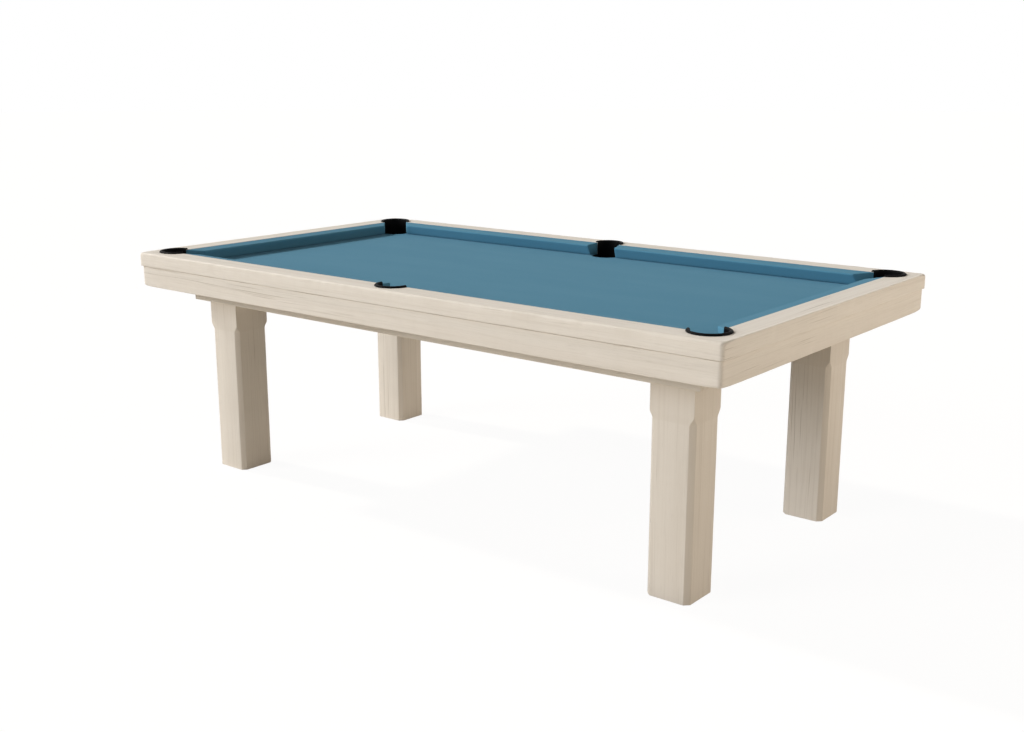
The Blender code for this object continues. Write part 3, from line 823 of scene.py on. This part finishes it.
def leg_section(chamfer, height, seed):
    """Square section with cut corners, each edge slightly rounded and uneven."""
    half = LEG_SIZE / 2
    corners = []
    for i, (x, y) in enumerate(((1, -1), (1, 1), (-1, 1), (-1, -1))):
        size = chamfer
        if chamfer > 2 * LEG_ARRIS:
            size += LEG_WANDER * wander(height, seed + i * LEG_CORNER_SEED_STEP, LEG_WAVES)
        flat = half - size
        pair = [(x * half, y * flat), (x * flat, y * half)]
        corners += pair if x * y > 0 else pair[::-1]
    if corners[0][0] < corners[1][0]:
        corners = corners[1:] + corners[:1]
    ring = []
    for i, corner in enumerate(corners):
        corner = Vector(corner)
        before = Vector(corners[i - 1]) - corner
        after = Vector(corners[(i + 1) % len(corners)]) - corner
        first = corner + before.normalized() * min(LEG_EDGE, before.length * LEG_EDGE_SHARE)
        last = corner + after.normalized() * min(LEG_EDGE, after.length * LEG_EDGE_SHARE)
        middle = first * 0.25 + corner * 0.5 + last * 0.25
        ring += [(p.x, p.y, height) for p in (first, middle, last)]
    return ring


def leg_levels():
    """Chamfer and height of each section, up to the curved stop and the square top."""
    levels = [(LEG_CHAMFER, height) for height in (SOLE_EDGE, SOLE_LOOP)]
    straight = STOP_TOP - STOP_LENGTH
    for i in range(1, LEG_STEPS):
        levels.append((LEG_CHAMFER, SOLE_LOOP + (straight - SOLE_LOOP) * i / LEG_STEPS))
    for i in range(STOP_STEPS + 1):
        share = i / STOP_STEPS
        fade = 0.5 + 0.5 * math.cos(math.pi * share)
        chamfer = LEG_ARRIS + (LEG_CHAMFER - LEG_ARRIS) * fade
        levels.append((chamfer, straight + STOP_LENGTH * share))
    levels.append((LEG_ARRIS, LEG_HEIGHT))
    return levels


def leg_chamfer_shade(point):
    """Painted shade on the chamfers."""
    x = abs(abs(point.x) - LEG_X)
    y = abs(abs(point.y) - LEG_Y)
    return LEG_CHAMFER_SHADE * (x + y - LEG_SIZE + LEG_CHAMFER + LEG_SHADE_START) / LEG_SHADE_FADE


def make_legs(woods):
    foot = [
        (PAD_RECESS, -FOOT_MARGIN), (PAD_RECESS, INSERT_SHOULDER),
        (INSERT_BORE, INSERT_SHOULDER), (INSERT_BORE, INSERT_TOP),
        (STEM_BORE, INSERT_TOP), (STEM_BORE, STEM_TOP + STEM_END_PLAY),
    ]
    bolt_outline = circle((0, 0), BOLT_BORE, BOLT_BORE_SEGMENTS)
    for i, corner in enumerate(CORNERS):
        place = at_corner(corner, LEG_X, LEG_Y)
        seed = i * LEG_SEED_STEP
        rings = [leg_section(chamfer, height, seed) for chamfer, height in leg_levels()]
        sole = [(x * SOLE_SHRINK, y * SOLE_SHRINK, 0.0) for x, y, height in rings[0]]
        blank = moved(loft([sole] + rings), place)
        bore = prism(bolt_outline, LEG_HEIGHT - BOLT_BORE_DEPTH, RAIL_TOP)
        bore = moved(bore, at_corner(corner, BOLT_X, BOLT_Y))
        name = "leg_" + corner
        cutters = [moved(turned(foot, FOOT_SEGMENTS), place), bore]
        mesh = carved(name + "_worn", blank, cutters)
        # Painted shade on the chamfers
        paint_edge_light(mesh, leg_chamfer_shade)
        wood = woods[corner]
        add_piece(name + "_worn", mesh, wood, "table", [name], smooth=30)


# Cloth

def notch_outline(name):
    """Edge of the bed cloth at a pocket: (point, way towards the pocket, share of the fold)."""
    plan, place, turn = pocket_place(name)
    drop = plan.drop_radius
    setback = RAIL_WIDTH + plan.drop_offset
    if plan is CORNER_POCKET:
        back = -(setback - (HALF_LENGTH - SLATE_X)) * math.sqrt(2) + drop
    else:
        back = -(setback - (HALF_WIDTH - SLATE_Y))
    folded = back + NOTCH_LEAD
    local = [((back, drop), (0, -1), 0.0), ((folded, drop), (0, -1), 1.0)]
    for x, y in arc((0, 0), 1, 90, -90, NOTCH_STEPS):
        local.append(((x * drop, y * drop), (-x, -y), 1.0))
    local += [((folded, -drop), (0, 1), 1.0), ((back, -drop), (0, 1), 0.0)]
    matrix = placed(place, turn)
    turned_by = matrix.to_3x3()
    outline = []
    for point, way, share in local:
        outline.append((matrix @ Vector((*point, 0)), turned_by @ Vector((*way, 0)), share))
    return outline


def make_bed_cloth(material):
    """Taut sheet whose edge turns down over the slate at each pocket."""
    outline = []
    for name in POCKET_ORDER:
        outline += notch_outline(name)
    thick = BED_TOP - CLOTH_BOTTOM
    bend = thick + SEAT_GAP - FOLD_OUTER
    upper = [(bend - FOLD_LEAD, 0.0)]
    upper += arc((bend, -FOLD_OUTER), FOLD_OUTER, 90, 0, 6)
    lower = [(thick + SEAT_GAP, -FOLD_LIP), (SEAT_GAP, -FOLD_LIP)]
    lower += arc((SEAT_GAP - FOLD_INNER, -thick - FOLD_INNER), FOLD_INNER, 0, 90, 4)
    lower.append((bend - FOLD_LEAD, -thick))
    rings = []
    for flat, sections in ((0.0, upper), (-thick, lower)):
        for out, fall in sections:
            ring = []
            for point, way, share in outline:
                spot = point + way * out * share
                ring.append((spot.x, spot.y, BED_TOP + flat + (fall - flat) * share))
            rings.append(ring)
    name = "bed_cloth_stretched"
    mesh = to_mesh(loft(rings), name)
    cloth = add_piece(name, mesh, material, "table", ["bed_cloth"], smooth=60)


def between(first, last, share):
    return tuple(a + (b - a) * share for a, b in zip(first, last))


def cushion_section():
    """Profile of a covered cushion: (distance from the rail's outer face, height) points."""
    top = RAIL_TOP - CUSHION_BACK_DROP
    nose_top = RAIL_TOP - NOSE_DROP
    section = [(CUSHION_BACK, RAIL_SEAT), (CUSHION_BACK, top - TUCK_RADIUS - SUPPORT_LOOP)]
    tuck = (CUSHION_BACK + TUCK_RADIUS, top - TUCK_RADIUS)
    section += arc(tuck, TUCK_RADIUS, 180, 96, 5)
    start = section[-1]
    centre = (NOSE_SETBACK - NOSE_RADIUS, nose_top - NOSE_RADIUS)
    nose = arc(centre, NOSE_RADIUS, 85, -20, 12)
    for i in range(1, CUSHION_TOP_STEPS):
        section.append(between(start, nose[0], i / CUSHION_TOP_STEPS))
    section += nose
    foot = (NOSE_SETBACK - CUSHION_UNDERCUT, RAIL_SEAT)
    for share in (0.25, 0.5, 0.75):
        section.append(between(nose[-1], foot, share))
    section += [(foot[0] + TOE_OUT, RAIL_SEAT + TOE_RISE), (foot[0] - TOE_IN, RAIL_SEAT)]
    section += [(foot[0] - SUPPORT_LOOP, RAIL_SEAT), (CUSHION_BACK + SUPPORT_LOOP, RAIL_SEAT)]
    return section


def make_cushion(name, side, left, right, material):
    """Cushion between two jaws; the cloth is folded round its ends."""
    place, turn = SIDES[side][1:]
    section = cushion_section()
    middle = (
        sum(depth for depth, height in section) / len(section),
        sum(height for depth, height in section) / len(section),
    )
    rings = []
    for jaw, sign in ((left, 1), (right, -1)):
        cut = []
        for offset, pull in END_FOLDS:
            ring = []
            for depth, height in section:
                away = Vector((depth - middle[0], height - middle[1]))
                drawn = away * (1 - pull / max(away.length, END_FOLD_CORE))
                free = min(1.0, (depth - CUSHION_BACK) / BACK_HOLD)
                depth += (middle[0] + drawn.x - depth) * free
                height = middle[1] + drawn.y
                share = (depth - RAIL_WIDTH) / (NOSE_SETBACK - RAIL_WIDTH)
                along = jaw[0] + (jaw[1] - jaw[0]) * share + sign * offset
                ring.append((along, depth, height))
            cut.append(ring)
        rings += cut if sign > 0 else cut[::-1]
    covered = name + "_covered"
    mesh = to_mesh(moved(loft(rings), placed(place, turn)), covered)
    piece = add_piece(covered, mesh, material, "table", [name], smooth=50)


def make_cushions(material):
    rail_corner = RAIL_WIDTH + CORNER_THROAT / math.sqrt(2)
    nose_corner = NOSE_SETBACK + CORNER_MOUTH / math.sqrt(2)
    side_jaw = (SIDE_THROAT / 2, SIDE_MOUTH / 2)
    for side in SIDES:
        half = SIDES[side][0]
        jaw = (half - rail_corner, half - nose_corner)
        opposite = tuple(-x for x in jaw)
        if side not in LONG_SIDES:
            make_cushion("end_cushion_" + side, side, opposite, jaw, material)
            continue
        hands = ("left", "right") if side == "near" else ("right", "left")
        name = "side_cushion_" + side + "_"
        make_cushion(name + hands[0], side, opposite, tuple(-x for x in side_jaw), material)
        make_cushion(name + hands[1], side, side_jaw, jaw, material)


# Pockets

def pocket_ring(back, front, lean, height):
    """Ring round a pocket's well: a half circle in front and one set back by lean behind."""
    steps = POCKET_SEGMENTS // 2 - 1
    outline = arc((0, 0), front, -90, 90, steps) + arc((-lean, 0), back, 90, 270, steps)
    return [(x, y, height) for x, y in outline]


def liner_ring(radius, lean, height):
    step = 360 / POCKET_SEGMENTS
    start, end = -90 + step / 2, 270 - step / 2
    outline = arc((-lean, 0), radius, start, end, POCKET_SEGMENTS - 1)
    return [(x, y, height) for x, y in outline]


def pocket_skin(plan):
    """Rings from the cup's outer floor up over the rolled collar and down to its inner floor."""
    radius = plan.liner_radius
    lean = pocket_lean(plan)
    outside = radius + POCKET_WALL
    front = plan.drop_radius - POCKET_CLEARANCE
    inside = front - POCKET_WALL
    seat = RAIL_TOP + SEAT_GAP
    floor = POCKET_BOTTOM + POCKET_WALL
    ledge = BED_TOP - POCKET_LEDGE
    fillet = (-FLOOR_FILLET, FLOOR_FILLET)
    rings = []
    for x, y in arc(fillet, FLOOR_FILLET, -90, 0, FLOOR_STEPS):
        rings.append(pocket_ring(outside + x, front + x, lean, POCKET_BOTTOM + y))
    rings.append(pocket_ring(outside, front, lean, ledge))
    rings.append(liner_ring(outside, lean, BED_TOP))
    rings.append(liner_ring(outside, lean, seat))
    for across, rise in arc((0, 0), 1, 0, 180, COLLAR_STEPS):
        width = COLLAR_WIDTH * (1 + across) / 2
        rings.append(liner_ring(radius + width, lean, seat + COLLAR_HEIGHT * rise))
    rings.append(liner_ring(radius, lean, BED_TOP))
    rings.append(pocket_ring(radius, inside, lean, ledge))
    for x, y in arc(fillet, FLOOR_FILLET, 0, -90, FLOOR_STEPS):
        rings.append(pocket_ring(radius + x, inside + x, lean, floor + y))
    return rings


def throat_outline(plan):
    """Opening towards the bed, cut along the rails' inner faces."""
    reach = THROAT_REACH
    if plan is CORNER_POCKET:
        apex = -plan.drop_offset * math.sqrt(2)
        return [(apex, 0), (apex + reach, -reach), (apex + 2 * reach, 0), (apex + reach, reach)]
    face = -plan.drop_offset
    return [(face, -reach), (face + reach, -reach), (face + reach, reach), (face, reach)]


def make_pockets(material):
    for place_name in POCKET_ORDER:
        plan, place, turn = pocket_place(place_name)
        matrix = placed(place, turn)
        throat = prism(throat_outline(plan), BED_TOP - POCKET_LEDGE, RAIL_TOP + THROAT_REACH)
        blank = moved(loft(pocket_skin(plan)), matrix)
        name = "pocket_" + place_name
        mesh = carved(name + "_moulded", blank, [moved(throat, matrix)], THROAT_EDGE)
        add_piece(name + "_moulded", mesh, material, "table", [name], smooth=40)


# Levelling feet

def thread_tree():
    """Rolled thread: a rod whose radius follows a helix and thins at both ends."""
    tree, given, result = new_group(
        "rolled_thread", "GeometryNodeTree",
        [
            ("Sides", "Int"), ("Rings", "Int"), ("Radius", "Float"), ("Length", "Float"),
            ("Pitch", "Float"), ("Depth", "Float"), ("Lead", "Float"), ("Middle", "Vector"),
            ("Finish", "Material"),
        ],
        [("Rod", "Geometry")],
    )
    rod = node(tree, "GeometryNodeMeshCylinder", {
        "Vertices": given["Sides"], "Side Segments": given["Rings"],
        "Radius": given["Radius"], "Depth": given["Length"],
    })
    spot = node(tree, "GeometryNodeInputPosition").outputs[0]
    axes = node(tree, "ShaderNodeSeparateXYZ", {0: spot}).outputs
    turns = number(tree, "DIVIDE", axes[2], given["Pitch"])
    angle = number(tree, "DIVIDE", number(tree, "ARCTAN2", axes[1], axes[0]), 2 * math.pi)
    flank = number(tree, "PINGPONG", number(tree, "SUBTRACT", turns, angle), 0.5)
    flank = number(tree, "MULTIPLY", number(tree, "MULTIPLY", flank, 2.0), given["Depth"])
    half = number(tree, "MULTIPLY", given["Length"], 0.5)
    room = number(tree, "SUBTRACT", half, number(tree, "ABSOLUTE", axes[2]))
    lead = number(tree, "MAXIMUM", number(tree, "SUBTRACT", given["Lead"], room), 0.0)
    worked = number(tree, "SUBTRACT", given["Radius"], number(tree, "ADD", flank, lead))
    share = number(tree, "DIVIDE", worked, given["Radius"])
    rolled = node(tree, "ShaderNodeCombineXYZ", {
        0: number(tree, "MULTIPLY", axes[0], share),
        1: number(tree, "MULTIPLY", axes[1], share),
        2: axes[2],
    }).outputs[0]
    shaped = node(tree, "GeometryNodeSetPosition", {
        "Geometry": rod.outputs["Mesh"], "Position": rolled,
    })
    stood = node(tree, "GeometryNodeTransform", {
        "Geometry": shaped.outputs[0], "Translation": given["Middle"],
    })
    real = node(tree, "GeometryNodeRealizeInstances", {"Geometry": stood.outputs[0]})
    painted = node(tree, "GeometryNodeSetMaterial", {
        "Geometry": real.outputs[0], "Material": given["Finish"],
    })
    feed(tree, result, {0: painted.outputs[0]})
    return tree


def grown(name, tree, values):
    """Run a node tree with the given inputs and keep its result as a plain mesh."""
    holder = linked(name + "_holder", bpy.data.meshes.new(name + "_holder"))
    modifier = holder.modifiers.new("shape", "NODES")
    modifier.node_group = tree
    for item in tree.interface.items_tree:
        if item.in_out == "INPUT":
            modifier[item.identifier] = values[item.name]
    mesh = evaluated_mesh(holder, name)
    holder.modifiers.remove(modifier)
    scrap(holder)
    return mesh


def pad_profile():
    """Half section of a pad: dished sole, rounded rim, and a socket for the stem."""
    inner = PAD_RADIUS - PAD_ROUND
    socket = PAD_TOP - PAD_SOCKET_DEPTH
    bore = STEM_RADIUS + STEM_SIDE_PLAY
    dish = PAD_FOOT + PAD_DISH_DEPTH
    profile = [(PAD_CORE, dish), (PAD_DISH, dish), (PAD_DISH + PAD_SLOPE, PAD_FOOT)]
    profile += arc((inner, PAD_FOOT + PAD_ROUND), PAD_ROUND, -90, 0, PAD_ROUND_STEPS)
    profile += arc((inner, PAD_TOP - PAD_ROUND), PAD_ROUND, 0, 90, PAD_ROUND_STEPS)
    profile += [(PAD_SOCKET + PAD_SLOPE, PAD_TOP), (PAD_SOCKET, socket)]
    profile += [(bore, socket), (bore, STEM_FOOT - SEAT_GAP)]
    return profile


def make_feet(steel, plastic):
    tree = thread_tree()
    length = STEM_TOP - STEM_FOOT
    for corner in CORNERS:
        place = at_corner(corner, LEG_X, LEG_Y)
        name = "leveller_stem_" + corner
        mesh = grown(name + "_threaded", tree, {
            "Sides": THREAD_SIDES, "Rings": THREAD_RINGS,
            "Radius": STEM_RADIUS, "Length": length,
            "Pitch": THREAD_PITCH, "Depth": THREAD_DEPTH, "Lead": THREAD_LEAD,
            "Middle": place @ Vector((0, 0, STEM_FOOT + length / 2)), "Finish": steel,
        })
        body = "stem_" + corner
        add_piece(name + "_threaded", mesh, steel, body, [name], smooth=40)
        name = "leveller_pad_" + corner
        mesh = to_mesh(moved(turned(pad_profile(), PAD_SEGMENTS), place), name + "_moulded")
        body = "pad_" + corner
        add_piece(name + "_moulded", mesh, plastic, body, [name], smooth=40)


# Finishes

def make_woods():
    """Oak for each board and leg, and planed timber for the frame, by grain direction."""
    grain = oak_grain_group()
    lengthwise = (0, 0, 0)
    across = (0, 0, math.pi / 2)
    upright = (0, math.pi / 2, 0)
    woods = {}
    for i, side in enumerate(SIDES):
        turn = lengthwise if side in LONG_SIDES else across
        for j, kind in enumerate(("rail", "apron")):
            shift = (3.1 * i + 1.3 * j + 0.7, 0.37 * i + 1.9 * j, 0.23 * i + 2.3 * j)
            woods[kind, side] = oak_material(
                "oak_%s_%s" % (kind, side), grain, turn, shift, LIMED_OAK,
                contrast=0.36, lines=0.62, streaks=0.11,
            )
    for i, corner in enumerate(CORNERS):
        shift = (2.7 * i, 0.31 * i, 5.0 + 0.19 * i)
        woods[corner] = oak_material(
            "oak_leg_" + corner, grain, upright, shift, LIMED_OAK,
            contrast=0.36, lines=0.90, streaks=0.20,
        )
    planed = (
        ("long", lengthwise, (9.0, 4.0, 2.0)),
        ("cross", across, (1.0, 6.0, 3.0)),
        ("upright", upright, (4.0, 1.0, 7.0)),
    )
    for kind, turn, shift in planed:
        woods[kind] = oak_material(
            "planed_timber_" + kind, grain, turn, shift, PLANED_TIMBER,
            contrast=0.7, lines=0.5, streaks=0.2,
        )
    return woods


def make_finishes():
    wool = wool_group()
    fine = fine_grain_group()
    return {
        "bed": wool_material(
            "blue_bed_wool", wool, dyed=(0.074, 0.222, 0.330), lint=(0.104, 0.264, 0.374),
        ),
        "cushion": wool_material(
            "blue_cushion_wool", wool, dyed=(0.076, 0.226, 0.334), lint=(0.106, 0.268, 0.378),
        ),
        "rubber": grained_material(
            "black_pocket_rubber", fine,
            dark=(0.0012, 0.0012, 0.0014), light=(0.0030, 0.0030, 0.0034), rough=(0.50, 0.68),
            metallic=0.0, shine=0.04, speckle=1400.0, patch=30.0, bump=0.25,
        ),
        "slate": grained_material(
            "ground_slate", fine,
            dark=(0.050, 0.055, 0.060), light=(0.095, 0.100, 0.108), rough=(0.55, 0.75),
            metallic=0.0, shine=0.4, speckle=420.0, patch=9.0, bump=0.3,
        ),
        "steel": grained_material(
            "zinc_plate", fine,
            dark=(0.52, 0.53, 0.52), light=(0.68, 0.68, 0.65), rough=(0.24, 0.42),
            metallic=1.0, shine=0.5, speckle=700.0, patch=160.0, bump=0.15,
        ),
        "plastic": grained_material(
            "black_foot_plastic", fine,
            dark=(0.016, 0.016, 0.018), light=(0.030, 0.030, 0.032), rough=(0.40, 0.58),
            metallic=0.0, shine=0.4, speckle=1100.0, patch=25.0, bump=0.3,
        ),
    }


def dress_solids(woods, finishes):
    """Better finishes on the solids that keep their shape."""
    choice = {
        "long_beam": woods["long"],
        "end_beam": woods["cross"],
        "cross_beam": woods["cross"],
        "corner_block": woods["long"],
        "apron_block": woods["upright"],
        "slate_": finishes["slate"],
        "leg_bolt": finishes["steel"],
        "leveller_insert": finishes["steel"],
    }
    for name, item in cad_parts.items():
        for start, material in choice.items():
            if name.startswith(start):
                for slot in item.material_slots:
                    slot.material = material


# Studio

def aimed_lamp(name, kind, place, target, energy, colour):
    data = bpy.data.lights.new(name, kind)
    data.energy = energy
    data.color = colour
    lamp = linked(name, data)
    lamp.location = place
    way = Vector(target) - lamp.location
    lamp.rotation_euler = way.to_track_quat("-Z", "Y").to_euler()
    return lamp


def soft_sun(name, way, strength, width, colour):
    """Far lamp in the direction way from the table; width is how wide it looks, in degrees."""
    lamp = aimed_lamp(name, "SUN", Vector(way) * SUN_DISTANCE, (0, 0, 0), strength, colour)
    lamp.data.angle = math.radians(width)


def soft_card(name, place, target, size, power, colour):
    """Bright board near the table, turned to its target and unseen by the camera."""
    lamp = aimed_lamp(name, "AREA", place, target, power, colour)
    lamp.data.shape = "RECTANGLE"
    lamp.data.size, lamp.data.size_y = size
    lamp.visible_camera = False


def make_lights():
    soft_sun(
        "key_left", (-0.80, -0.10, 0.59), strength=2.20, width=3.5, colour=(1.0, 0.985, 0.95),
    )
    soft_sun(
        "front_left", (-0.52, -0.79, 0.32), strength=1.99, width=30.0, colour=(0.985, 0.993, 1.0),
    )
    soft_sun("fill_right", (0.86, 0.43, 0.38), strength=0.82, width=40.0, colour=WARM_LIGHT)
    soft_card(
        "card_left", (-2.2, -2.6, 2.4), (-0.6, -0.3, 0.7), size=(1.8, 1.8),
        power=8.0, colour=(1.0, 0.99, 0.97),
    )
    soft_card(
        "card_right", (2.75, 0.65, 0.60), (0.0, 0.60, 0.50), size=(2.2, 1.15),
        power=8.4, colour=WARM_LIGHT,
    )


def seen_rays(tree):
    """1 for rays that show the background: from the camera, off gloss and through glass."""
    path = tree.nodes.new("ShaderNodeLightPath").outputs
    seen = number(tree, "ADD", path["Is Camera Ray"], path["Is Glossy Ray"])
    return number(tree, "ADD", seen, path["Is Transmission Ray"], clamp=True)


def mixed_shader(tree, share, first, second):
    inputs = {0: share, 1: first.outputs[0], 2: second.outputs[0]}
    return node(tree, "ShaderNodeMixShader", inputs)


def make_world():
    """White where it is seen, a low warm light everywhere else."""
    world = bpy.data.worlds.new("studio")
    bpy.context.scene.world = world
    world.use_nodes = True
    tree = world.node_tree
    tree.nodes.clear()
    backdrop = node(tree, "ShaderNodeBackground", {"Color": WHITE, "Strength": 1.0})
    ambient = node(tree, "ShaderNodeBackground", {"Color": WARM_AIR, "Strength": 0.13})
    sky = mixed_shader(tree, seen_rays(tree), ambient, backdrop)
    node(tree, "ShaderNodeOutputWorld", {0: sky.outputs[0]})


def make_floor():
    """Pale floor that bounces warm light and shows white with a faint shadow."""
    shape = bmesh.new()
    bmesh.ops.create_circle(shape, cap_ends=True, radius=FLOOR_RADIUS, segments=FLOOR_SEGMENTS)
    floor = linked("floor", to_mesh(shape, "floor"))
    floor.location.z = -FLOOR_DROP
    material, tree, shader = new_material("pale_floor")
    feed(tree, shader, {
        "Base Color": FLOOR_COLOUR, "Roughness": 0.9, "Specular IOR Level": 0.0,
    })
    white = node(tree, "ShaderNodeEmission", {"Color": WHITE, "Strength": 1.05})
    veil = mixed_shader(tree, FLOOR_VEIL, shader, white)
    surface = mixed_shader(tree, seen_rays(tree), shader, veil)
    feed(tree, tree.nodes["Material Output"], {"Surface": surface.outputs[0]})
    floor.data.materials.append(material)


def make_camera():
    scene = bpy.context.scene
    scene.view_settings.view_transform = "Standard"
    lens = bpy.data.cameras.new("camera")
    lens.sensor_width = CAMERA_SENSOR
    lens.lens = CAMERA_LENS
    lens.clip_end = CAMERA_REACH
    camera = linked("camera", lens)
    camera.location = CAMERA_PLACE
    camera.rotation_euler = (math.radians(90 - CAMERA_DIP), 0.0, math.radians(CAMERA_TURN))
    scene.camera = camera


woods = make_woods()
finishes = make_finishes()
make_rails({side: woods["rail", side] for side in SIDES})
make_aprons({side: woods["apron", side] for side in SIDES})
make_legs(woods)
make_bed_cloth(finishes["bed"])
make_cushions(finishes["cushion"])
make_pockets(finishes["rubber"])
make_feet(finishes["steel"], finishes["plastic"])
dress_solids(woods, finishes)
make_world()
make_floor()
make_lights()
make_camera()
